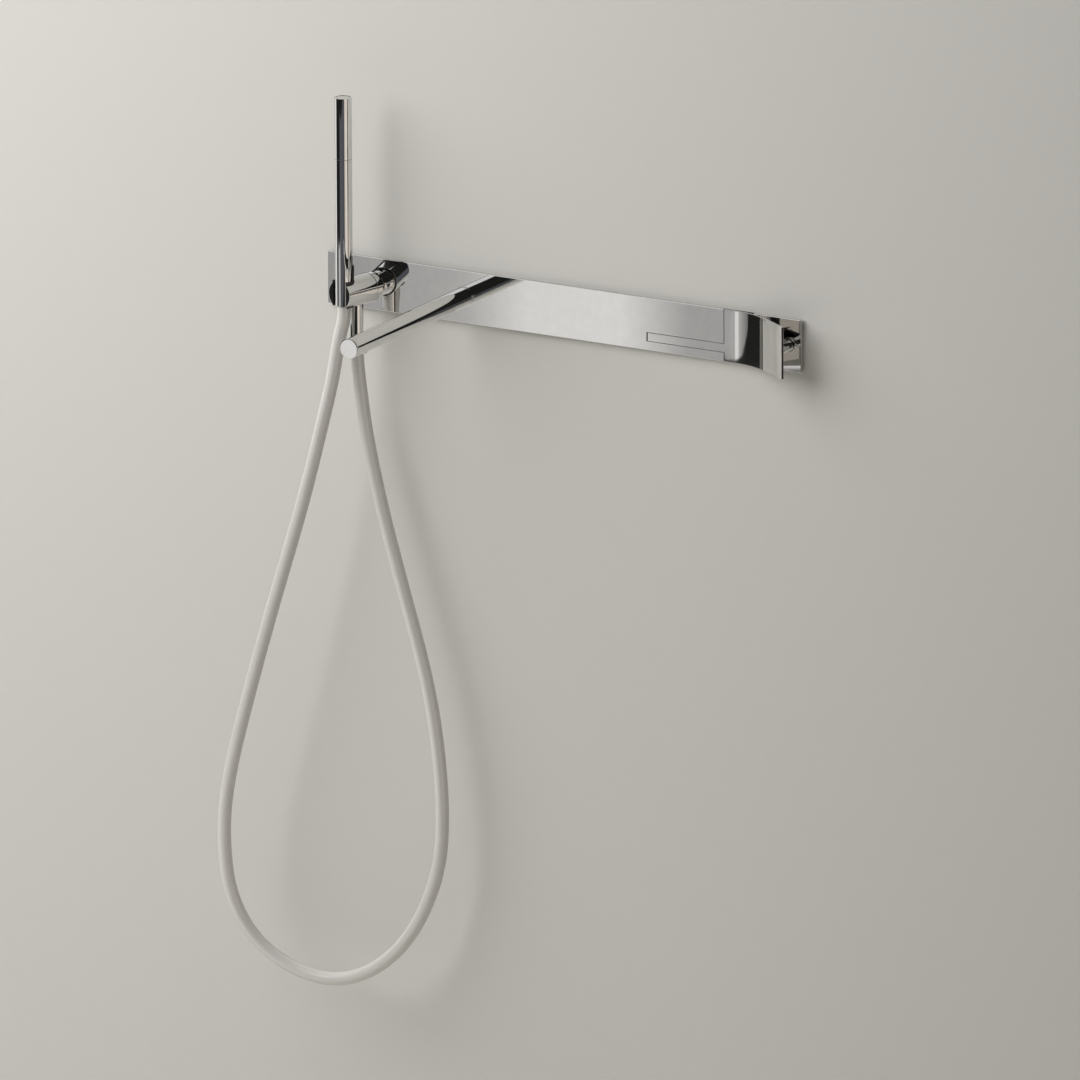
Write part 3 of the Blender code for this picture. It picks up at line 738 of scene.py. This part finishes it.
@dataclass
class Spout:
    """The spout tube with its outlet, base ring and end knob."""

    bore: float = 0.0082
    outlet_radius: float = 0.0062
    edge: float = 0.0003
    spring_wire: float = 0.00035
    spring_coils: int = 6
    coil_steps: int = 48
    wire_sides: int = 12
    rings: tuple = (
        ("spout_base_ring", "root", 1, 0.0074, CHROME, "chrome", 0.0003),
        ("diverter_knob", "diverter_body", 1, 0, CHROME, "chrome", 0.0007),
        ("spindle_escutcheon", "root", 1, 0.0058, CHROME, "chrome", 0.0003),
        ("aerator_housing", "root", 2, 0.0046, CHROME, "chrome", 0.0003),
        ("aerator_insert", "root", 2, 0, WHITE_ACETAL, "white_plastic", 0.0003),
    )

    def build_spring(self) -> None:
        """Sweep the return spring's wire along its helix, and ride it on the diverter's body.
        """
        low, high, middle = span("diverter_spring")
        start, stop = high[1] - self.spring_wire, low[1] + self.spring_wire
        steps = self.coil_steps * self.spring_coils
        turn = np.linspace(0, 2 * np.pi * self.spring_coils, steps + 1)
        reach = (high[0] - low[0]) / 2 - self.spring_wire
        line = np.stack([middle[0] + reach * np.cos(turn),
                         start + (stop - start) * turn / turn[-1],
                         middle[2] + reach * np.sin(turn)], axis=1)
        rings = wire_rings(line, Y_AXIS, self.spring_wire, self.wire_sides)
        points, faces = skin(rings, Ends.CAPPED)
        item = piece("diverter_spring_fine", points, faces, STEEL.material())
        Round("diverter_spring", "diverter_body", 1, 0, STEEL, "steel").attach(item)
        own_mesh(item)

    def build(self) -> None:
        """Turn the tube, cut the outlet in its underside and add the pieces round it."""
        self.build_spring()
        low, high, middle = span("spout_tube")
        radius = (high[2] - low[2]) / 2
        half = (high[1] - low[1]) / 2
        corners = [(self.bore, -half), (radius, -half), (radius, half), (self.bore, half)]
        item = turned("spout_barrel", rounded(corners, self.edge, closed=True), middle, Y_AXIS,
                      CHROME, 128)
        outlet = span("aerator_housing")[2] * (1, 1, 0)
        reach = radius * 1.5
        tool = turned("outlet_tool", [(0, -reach), (self.outlet_radius, -reach),
                                      (self.outlet_radius, 0), (0, 0)],
                      outlet, Z_AXIS, CHROME, 64)
        cut(item, tool)
        Round("spout_tube", "root", 1, 0, CHROME, "chrome").attach(item)
        for ring in self.rings:
            Round(*ring).build()


@dataclass
class Holder:
    """The ball, its socket ring, the leaning body with its liner, and the outlet under it.

    Heights are along the holder's own axis from the ball's middle, and the stub's are from the
    plate's front.
    """

    ball: float = 0.0132
    ball_reach: tuple = (-0.0072, 0.01285)
    ball_rise: float = 0.011
    stub: float = 0.0128
    stub_neck: float = 0.006
    stub_root: float = -0.0172
    stub_top: float = 0.0036
    waterway: float = 0.003
    waterway_end: float = 0.0225
    ring: float = 0.0149
    ring_bore: float = 0.0136
    ring_lip: float = 0.01285
    ring_reach: tuple = (-0.001, 0.005)
    ring_hollow: tuple = (0.0046, -0.0006)
    seat_foot: float = 0.0053
    seat_inner: float = 0.0135
    seat_inner_top: float = 0.01316
    seat_outer: float = 0.0140
    seat_outer_top: float = 0.01367
    socket: float = 0.0143
    socket_reach: tuple = (0.0056, 0.01398)
    gap: float = 0.0003
    edge: float = 0.0004
    tool_reach: float = 0.02
    outlet_seat: float = 0.00705
    outlet_seat_top: float = -0.011
    outlet_bore: float = 0.0048
    radius: float = 0.0147
    length: float = 0.045
    channel: float = 0.0104
    liner_outer: float = 0.0101
    liner_inner: float = 0.0092
    liner_leg: float = 0.0060
    liner_leg_top: float = 0.0135
    leg_steps: int = 8
    rise_start: float = 0.0010
    rise_length: float = 0.0025
    nut_bore: float = 0.0030
    nut_taper: float = 0.0006
    nut_lip: float = 0.002

    def axes(self) -> tuple[Array, Array]:
        """The ball's middle and the direction of the holder's axis."""
        return np.array(joint("holder_swivel")["pos_m"]), unit(np.array(
            joint("hand_shower_lift")["axis"], dtype=float))

    def ball_line(self, start: float, stop: float, radius: float, steps: int = 40) -> Array:
        """Outline of a ball between two heights: radius sqrt(R^2 - h^2), evenly spaced in angle.

        Args:
            start: First height.
            stop: Last height.
            radius: The ball's radius R.
            steps: How many points.

        Returns:
            (radius, height) points.
        """
        angle = np.linspace(math.asin(start / radius), math.asin(stop / radius), steps)
        return np.stack([radius * np.cos(angle), radius * np.sin(angle)], axis=1)

    def build(self) -> None:
        """Build every visible piece of the holder."""
        pivot, lean = self.axes()
        front = span("faceplate")[0][1]
        gap = self.gap
        stem = [(self.waterway, self.stub_root), (self.stub_neck, self.stub_root),
                (self.stub_neck, gap), (self.stub, gap), (self.stub, self.stub_top - gap),
                (self.stub - gap, self.stub_top)]
        ball = self.ball_line(*self.ball_reach, self.ball)
        outline = np.concatenate([stem, ball + (0, self.ball_rise)])
        stub = turned("ball_stub_fine", outline, np.array([pivot[0], front, 0]), -Y_AXIS, CHROME)
        Round("ball_stub", "root", 1, 0, CHROME, "chrome").attach(stub)
        self.build_body(pivot, lean)
        foot, top = self.ring_reach
        corners = [(self.ring_bore, foot), (self.ring, foot), (self.ring, top), (self.ring_lip, top)]
        ring = np.concatenate([rounded(corners, gap),
                               self.ball_line(*self.ring_hollow, self.ring_bore, 12)])
        collar = turned("socket_ring_fine", ring, pivot, lean, CHROME)
        Round("socket_ring", "holder", 1, 0, CHROME, "chrome").attach(collar)
        foot = self.seat_foot
        seat = np.concatenate([self.ball_line(foot, self.seat_inner_top, self.seat_inner),
                               self.ball_line(self.seat_outer_top, foot, self.seat_outer)])
        cup = turned("ball_seat_fine", seat, pivot, lean, WHITE_ACETAL, 64)
        Round("ball_seat", "holder", 1, 0, WHITE_ACETAL, "white_plastic").attach(cup)
        self.build_liner(lean)
        Round("outlet_pipe", "holder", 2, self.outlet_bore, CHROME, "chrome", gap).build()
        self.build_nut()

    def build_body(self, pivot: Array, lean: Array) -> None:
        """Turn the body, then cut the hand shower's channel and the outlet's seat.

        Args:
            pivot: The ball's middle.
            lean: The holder's axis.
        """
        outer = rounded([(0, self.length), (self.radius, self.length), (self.radius, self.seat_foot),
                         (self.ring_bore, self.seat_foot)], self.edge)
        socket = self.ball_line(*self.socket_reach, self.socket)
        bottom = [(self.waterway, self.waterway_end), (0, self.waterway_end)]
        outline = np.concatenate([outer[:-1], socket, bottom])
        body = turned("holder_barrel", outline, pivot, lean, CHROME, 128)
        stick = span("handle_tube")[2] * (1, 1, 0)
        angle = np.linspace(0, np.pi, 49)
        across = np.cross(lean, Z_AXIS)
        reach = self.tool_reach
        u = np.concatenate([[self.channel], self.channel * np.cos(angle), [-self.channel]])
        v = np.concatenate([[reach], -self.channel * np.sin(angle), [reach]])
        loop = stick + u[:, None] * across + v[:, None] * lean
        rings = np.stack([loop - Z_AXIS * reach, loop + Z_AXIS * reach])
        points, faces = skin(rings, Ends.CAPPED)
        cut(body, piece("channel_tool", points, faces, CHROME.material()))
        wide, top = self.outlet_seat, self.outlet_seat_top
        seat = turned("seat_tool", [(0, -reach), (wide, -reach), (wide, top), (0, top)],
                      span("outlet_pipe")[2] * (1, 1, 0), Z_AXIS, CHROME, 64)
        cut(body, seat)
        Round("holder_body", "holder", 1, 0, CHROME, "chrome").attach(body)

    def build_liner(self, lean: Array) -> None:
        """Sweep the liner's wall round the channel.

        The path is straight legs and a half circle behind the hand shower. Each ring is a
        rectangle with blunt corners: its width is the wall's and its top rises smoothly from
        the legs' height to the back's.

        Args:
            lean: The holder's axis.
        """
        low, high, _ = span("holder_liner")
        stick = span("handle_tube")[2]
        middle = (self.liner_outer + self.liner_inner) / 2
        wall = (self.liner_outer - self.liner_inner) / 2
        across = np.cross(lean, Z_AXIS)
        angle = np.linspace(0, np.pi, 65)
        count = self.leg_steps
        legs = np.linspace(self.liner_leg, 0.0, count, endpoint=False)
        straight, level = np.ones(count), np.zeros(count)
        u = np.concatenate([straight * middle, middle * np.cos(angle), -straight * middle])
        v = np.concatenate([legs, -middle * np.sin(angle), legs[::-1]])
        normal_u = np.concatenate([straight, np.cos(angle), -straight])
        normal_v = np.concatenate([level, -np.sin(angle), level])
        place = u[:, None] * across + v[:, None] * lean + stick * (1, 1, 0)
        normal = normal_u[:, None] * across + normal_v[:, None] * lean
        share = np.clip((-v - self.rise_start) / self.rise_length, 0, 1)
        rise = high[2] - self.liner_leg_top
        top = self.liner_leg_top + rise * share * share * (3 - 2 * share)
        corners = rounded([(-1, 0), (1, 0), (1, 1), (-1, 1)], 0.12, closed=True, steps=3)
        side = corners[:, 0] * wall
        heights = low[2] + corners[:, 1] * (top[:, None] - low[2])
        rings = place[:, None] + side[None, :, None] * normal[:, None]
        rings = rings + heights[..., None] * Z_AXIS
        points, faces = skin(rings, Ends.CAPPED)
        item = piece("holder_liner_fine", points, faces, GREY_ACETAL.material())
        Round("holder_liner", "holder", 2, 0, GREY_ACETAL, "grey_plastic").attach(item)

    def build_nut(self) -> None:
        """Turn the tapered hose nut under the outlet pipe."""
        low, high, middle = span("hose_nut")
        wide = (high[0] - low[0]) / 2
        bottom, top = low[2] - middle[2], high[2] - middle[2]
        corners = [(self.nut_bore, bottom), (wide - self.nut_taper, bottom),
                   (wide, top - self.nut_lip), (wide, top), (self.nut_bore, top)]
        outline = rounded(corners, self.gap, closed=True)
        nut = turned("hose_nut_fine", outline, middle, Z_AXIS, CHROME)
        Round("hose_nut", "holder", 2, 0, CHROME, "chrome").attach(nut)


@dataclass
class HandShower:
    """The stick: handle, spray tube with its slot, cap and the pieces inside it."""

    bore: float = 0.0070
    slot_half: float = 0.0040
    slot_low: float = 0.146
    slot_high: float = 0.192
    slot_reach: tuple = (0.004, 0.012)
    seam_edge: float = 0.0001
    inner: tuple = (
        ("top_cap", 0, CHROME, "chrome"), ("handle_connector", 0.0050, BRASS, "brass"),
        ("swivel_nut", 0.0040, BRASS, "brass"), ("swivel_washer", 0.0030, RUBBER, "rubber"),
        ("flow_limiter", 0.0015, WHITE_ACETAL, "white_plastic"),
    )
    inner_edge: float = 0.0002

    def build(self) -> None:
        """Build the stick's tubes and inner pieces, and cut the spray tube's rounded slot."""
        shell = ("hand_shower", 2, self.bore, CHROME, "chrome", self.seam_edge)
        Round("handle_tube", *shell).build()
        for node, bore, finish, slot in self.inner:
            Round(node, "hand_shower", 2, bore, finish, slot, self.inner_edge).build()
        tube = Round("spray_tube", *shell).build()
        _, lean = Holder().axes()
        stick = span("handle_tube")[2] * (1, 1, 0)
        across = np.cross(lean, Z_AXIS)
        turn = np.linspace(0, np.pi, 13)
        half = self.slot_half
        u = np.concatenate([half * np.cos(turn), -half * np.cos(turn)])
        z = np.concatenate([self.slot_high - half + half * np.sin(turn),
                            self.slot_low + half - half * np.sin(turn)])
        loop = stick + u[:, None] * across + z[:, None] * Z_AXIS
        rings = np.stack([loop - lean * depth for depth in self.slot_reach])
        points, faces = skin(rings, Ends.CAPPED)
        cut(tube, piece("slot_tool", points, faces, CHROME.material()))


@dataclass
class Concealed:
    """The pieces behind the wall and inside the tubes."""

    bores: tuple = (
        ("supply_pipe", 0, 0.0065, STEEL, "steel"), ("branch_pipe", 0, 0.0065, STEEL, "steel"),
        ("check_valve", 0, 0.0030, WHITE_ACETAL, "white_plastic"),
        ("spout_nipple", 1, 0.0050, BRASS, "brass"), ("spout_seal", 1, 0.0072, RUBBER, "rubber"),
        ("spout_end_bush", 1, 0.0023, WHITE_ACETAL, "white_plastic"),
        ("cartridge_nut", 1, 0.0040, BRASS, "brass"), ("valve_seat", 1, 0.0016, CERAMIC, "ceramic"),
        ("plate_stud_left", 1, 0.0, STEEL, "steel"), ("plate_stud_right", 1, 0.0, STEEL, "steel"),
    )
    moving: tuple = (
        ("valve_spindle", "lever_body", 1, 0.0, STEEL, "steel"),
        ("valve_plunger", "lever_body", 1, 0.0, CERAMIC, "ceramic"),
        ("lever_grub_screw", "lever_body", 2, 0.0, STEEL, "steel"),
        ("diverter_piston", "diverter_body", 1, 0.0, RUBBER, "rubber"),
        ("outlet_washer", "holder", 2, 0.0025, RUBBER, "rubber"),
    )
    inlet_bore: float = 0.0060
    flange: float = 0.0125
    flange_end: float = 0.048
    neck: float = 0.0103
    neck_start: float = 0.0485
    fixed_edge: float = 0.0003
    moving_edge: float = 0.0002
    inlet_edge: float = 0.0004

    def build(self) -> None:
        """Make finer copies of the round pieces."""
        for node, axis, bore, finish, slot in self.bores:
            Round(node, "root", axis, bore, finish, slot, self.fixed_edge).build()
        for node, body, axis, bore, finish, slot in self.moving:
            Round(node, body, axis, bore, finish, slot, self.moving_edge).build()
        for node in ("hot_inlet", "cold_inlet"):
            low, high, middle = span(node)
            start, stop = low[1], high[1]
            corners = [(self.inlet_bore, start), (self.flange, start),
                       (self.flange, self.flange_end), (self.neck, self.neck_start),
                       (self.neck, stop), (self.inlet_bore, stop)]
            item = turned(node + "_fine", rounded(corners, self.inlet_edge, closed=True),
                          middle * (1, 0, 1), Y_AXIS, BRASS)
            Round(node, "root", 1, 0, BRASS, "brass").attach(item)


def dress_nodes() -> None:
    """Give every CAD node that still shows a finish of its own."""
    finishes = {"chrome": CHROME, "brass": BRASS, "steel": STEEL, "rubber": RUBBER,
                "ceramic": CERAMIC, "white_plastic": WHITE_ACETAL, "grey_plastic": GREY_ACETAL,
                "hose_skin": SILICONE}
    slots = {part["node"]: part["material_slot"] for part in frame["record"]["subparts"]}
    for node, item in frame["nodes"].items():
        finish = SILICONE if node == "nozzle_strip" else finishes[slots[node]]
        item.data.materials.clear()
        item.data.materials.append(finish.material())
    LOG.info("%d nodes dressed", len(frame["nodes"]))


@dataclass
class Studio:
    """Wall, floor, lights and the cards that the chrome reflects."""

    wall_colour: str = "#CFCDC8"
    floor_colour: str = "#D8D6D1"
    floor_drop: float = 1.0
    size: float = 9.0
    dark_colour: str = "#232322"
    dome_radius: float = 3.4
    dome_rows: int = 32
    dome_columns: int = 48
    wall_gap: float = 0.0003
    sky_colour: str = "#F2F0EC"
    sky_strength: float = 0.22
    cards: tuple = (
        ("plate_card", (-0.486, -0.832, -0.266), 1.5, (-0.27, -0.05), (0.95, 0.10),
         ((0.0, 0.90), (0.068, 0.90), (0.078, 0.42), (0.115, 0.44), (0.17, 0.86),
          (0.25, 0.84), (0.303, 0.50), (0.413, 0.38), (0.67, 0.20), (0.69, 0.02)), "#FFFDFB"),
        ("right_card", (0.866, -0.5, -0.27), 2.0, (-0.75, -0.9), (0.75, 0.9),
         ((0.0, 0.90), (0.5, 0.85), (1.0, 0.55)), "#FFF3E8"),
        ("left_card", (-0.98, -0.196, 0.0), 0.8, (-0.12, -0.19), (0.12, 0.12),
         ((0.0, 1.0), (1.0, 0.8)), "#FFFFFF"),
        ("front_card", (0.0, -1.0, -0.17), 1.0, (-0.6, -0.10), (0.49, 0.10),
         ((0.0, 0.10), (1.0, 0.13)), "#EEF2FF"),
        ("top_card", (-0.42, -0.83, 0.25), 2.0, (-0.4, -0.45), (0.5, 0.6),
         ((0.0, 0.9), (1.0, 0.9)), "#FFFFFF"),
    )
    lights: tuple = (
        ("key", (-1.6, -1.3, 1.5), (-0.1, 0.0, -0.1), 2.7, 92.0),
        ("back_fill", (0.4, 2.8, 1.2), (0.0, 0.0, -0.2), 2.0, 40.0),
    )

    def plane(self, name: str, corners: Array, material: bpy.types.Material) -> bpy.types.Object:
        """Make one staged rectangle.

        Args:
            name: Its name.
            corners: Its four corners in order.
            material: What it wears.

        Returns:
            The rectangle.
        """
        item = piece(name, np.asarray(corners, dtype=float), [[0, 1, 2, 3]], material)
        return item

    def paint(self, name: str, colour: str) -> bpy.types.Material:
        """Matt paint with a roller's faint texture, clear when seen from behind.

        Args:
            name: The material's name.
            colour: sRGB hex colour.

        Returns:
            The material.
        """
        material, output = new_material(name)
        tree = material.node_tree
        place = add_node(tree, "TexCoord")
        grain = add_node(tree, "TexNoise", {"Scale": 260.0, "Detail": 2.0},
                         {"Vector": place.outputs["Object"]})
        relief = add_node(tree, "Bump", {"Distance": 0.0002, "Strength": 0.25},
                          {"Height": grain.outputs["Fac"]})
        shader = add_node(tree, "BsdfPrincipled", {"Base Color": linear(colour), "Roughness": 0.85},
                          {"Normal": relief.outputs[0]})
        clear = add_node(tree, "BsdfTransparent")
        side = add_node(tree, "NewGeometry")
        surface = add_node(tree, "MixShader", links={
            0: side.outputs["Backfacing"], 1: shader.outputs[0], 2: clear.outputs[0]})
        tree.links.new(surface.outputs[0], output.inputs["Surface"])
        return material

    def card(self, name: str, way: tuple, distance: float, low: tuple, high: tuple, stops: tuple,
             colour: str) -> None:
        """A glowing card that only reflections see, with its brightness drawn along it.

        Args:
            name: The card's name.
            way: Direction from the plate's middle to the card.
            distance: How far away it is.
            low: Its left and lower reach from that direction, seen from the plate.
            high: Its right and upper reach.
            stops: (place from 0 to 1, strength) pairs from its left to its right.
            colour: Colour of its light.
        """
        material, output = new_material(name + "_glow")
        tree = material.node_tree
        where = add_node(tree, "UVMap", {"uv_map": "UVMap"})
        split = add_node(tree, "SeparateXYZ", links={0: where.outputs[0]})
        level = add_node(tree, "ValToRGB", links={0: split.outputs[0]})
        ramp = level.color_ramp
        while len(ramp.elements) < len(stops):
            ramp.elements.new(0.5)
        for element, (position, strength) in zip(ramp.elements, stops):
            element.position = position
            element.color = (strength, strength, strength, 1.0)
        glow = add_node(tree, "Emission", {"Color": linear(colour)}, {"Strength": level.outputs[0]})
        tree.links.new(glow.outputs[0], output.inputs["Surface"])
        facing = unit(np.array(way, dtype=float))
        right = unit(np.cross(facing, Z_AXIS))
        up = np.cross(right, facing)
        corners = [facing * distance + right * x + up * z
                   for x, z in ((low[0], low[1]), (high[0], low[1]), (high[0], high[1]),
                                (low[0], high[1]))]
        item = self.plane(name, corners, material)
        layer = item.data.uv_layers.new(name="UVMap")
        layer.data.foreach_set("uv", np.array([0, 0, 1, 0, 1, 1, 0, 1], dtype=np.float32))
        self.only_reflected(item)

    def only_reflected(self, item: bpy.types.Object) -> None:
        """Hide a staged piece from everything but mirror rays."""
        item.visible_camera = False
        item.visible_diffuse = False
        item.visible_shadow = False
        item.visible_transmission = False
        item.visible_volume_scatter = False

    def dark_room(self) -> None:
        """A dark half dome in front of the wall, so that the chrome has black to reflect."""
        material, output = new_material("black_flock")
        tree = material.node_tree
        glow = add_node(tree, "Emission", {"Color": linear(self.dark_colour), "Strength": 1.0})
        tree.links.new(glow.outputs[0], output.inputs["Surface"])
        rows, columns = self.dome_rows, self.dome_columns
        rise = np.linspace(-0.5 * np.pi, 0.5 * np.pi, rows + 1)
        turn = np.linspace(np.pi, 2 * np.pi, columns + 1)
        ring, place = np.meshgrid(rise, turn, indexing="ij")
        points = np.stack([np.cos(ring) * np.cos(place), np.cos(ring) * np.sin(place),
                           np.sin(ring)], axis=-1).reshape(-1, 3) * self.dome_radius
        row, column = np.meshgrid(np.arange(rows), np.arange(columns), indexing="ij")
        start = (row * (columns + 1) + column).ravel()
        above = start + columns + 1
        faces = np.stack([start, start + 1, above + 1, above], axis=1)
        item = piece("dark_room", points, faces.tolist(), material)
        self.only_reflected(item)

    def softbox(self, name: str, place: tuple, aim: tuple, size: float, power: float) -> None:
        """Add a square area light that mirror rays don't see.

        Args:
            name: The light's name.
            place: Its middle.
            aim: The point it faces.
            size: Length of its sides.
            power: Watts.
        """
        light = bpy.data.lights.new(name, "AREA")
        light.shape = "SQUARE"
        light.size = size
        light.energy = power
        item = bpy.data.objects.new(name, light)
        bpy.context.collection.objects.link(item)
        item.location = place
        way = Vector(aim) - Vector(place)
        item.rotation_mode = "QUATERNION"
        item.rotation_quaternion = way.to_track_quat("-Z", "Y")
        item.visible_glossy = False

    def build(self) -> None:
        """Build the wall just behind the plate, the floor, the light and what chrome reflects."""
        half, drop, gap = self.size / 2, -self.floor_drop, self.wall_gap
        wall = self.paint("matt_wall_paint", self.wall_colour)
        floor = self.paint("pale_floor_paint", self.floor_colour)
        self.plane("wall", [(-half, gap, drop), (half, gap, drop), (half, gap, half),
                            (-half, gap, half)], wall)
        self.plane("floor", [(-half, -half, drop), (half, -half, drop), (half, half, drop),
                             (-half, half, drop)], floor)
        world = bpy.data.worlds.new("soft_room")
        world.use_nodes = True
        sky = world.node_tree.nodes["Background"]
        sky.inputs["Color"].default_value = linear(self.sky_colour)
        sky.inputs["Strength"].default_value = self.sky_strength
        bpy.context.scene.world = world
        self.dark_room()
        for card in self.cards:
            self.card(*card)
        for light in self.lights:
            self.softbox(*light)
        bpy.context.scene.view_settings.view_transform = "Standard"


def main() -> None:
    """Build everything in order."""
    logging.basicConfig(level=logging.INFO, format="%(name)s: %(message)s")
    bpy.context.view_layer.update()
    LongLens().build()
    Hose().build()
    dress_nodes()
    Lever().build()
    Spout().build()
    Holder().build()
    HandShower().build()
    Concealed().build()
    Studio().build()


if __name__ == "__main__":
    main()
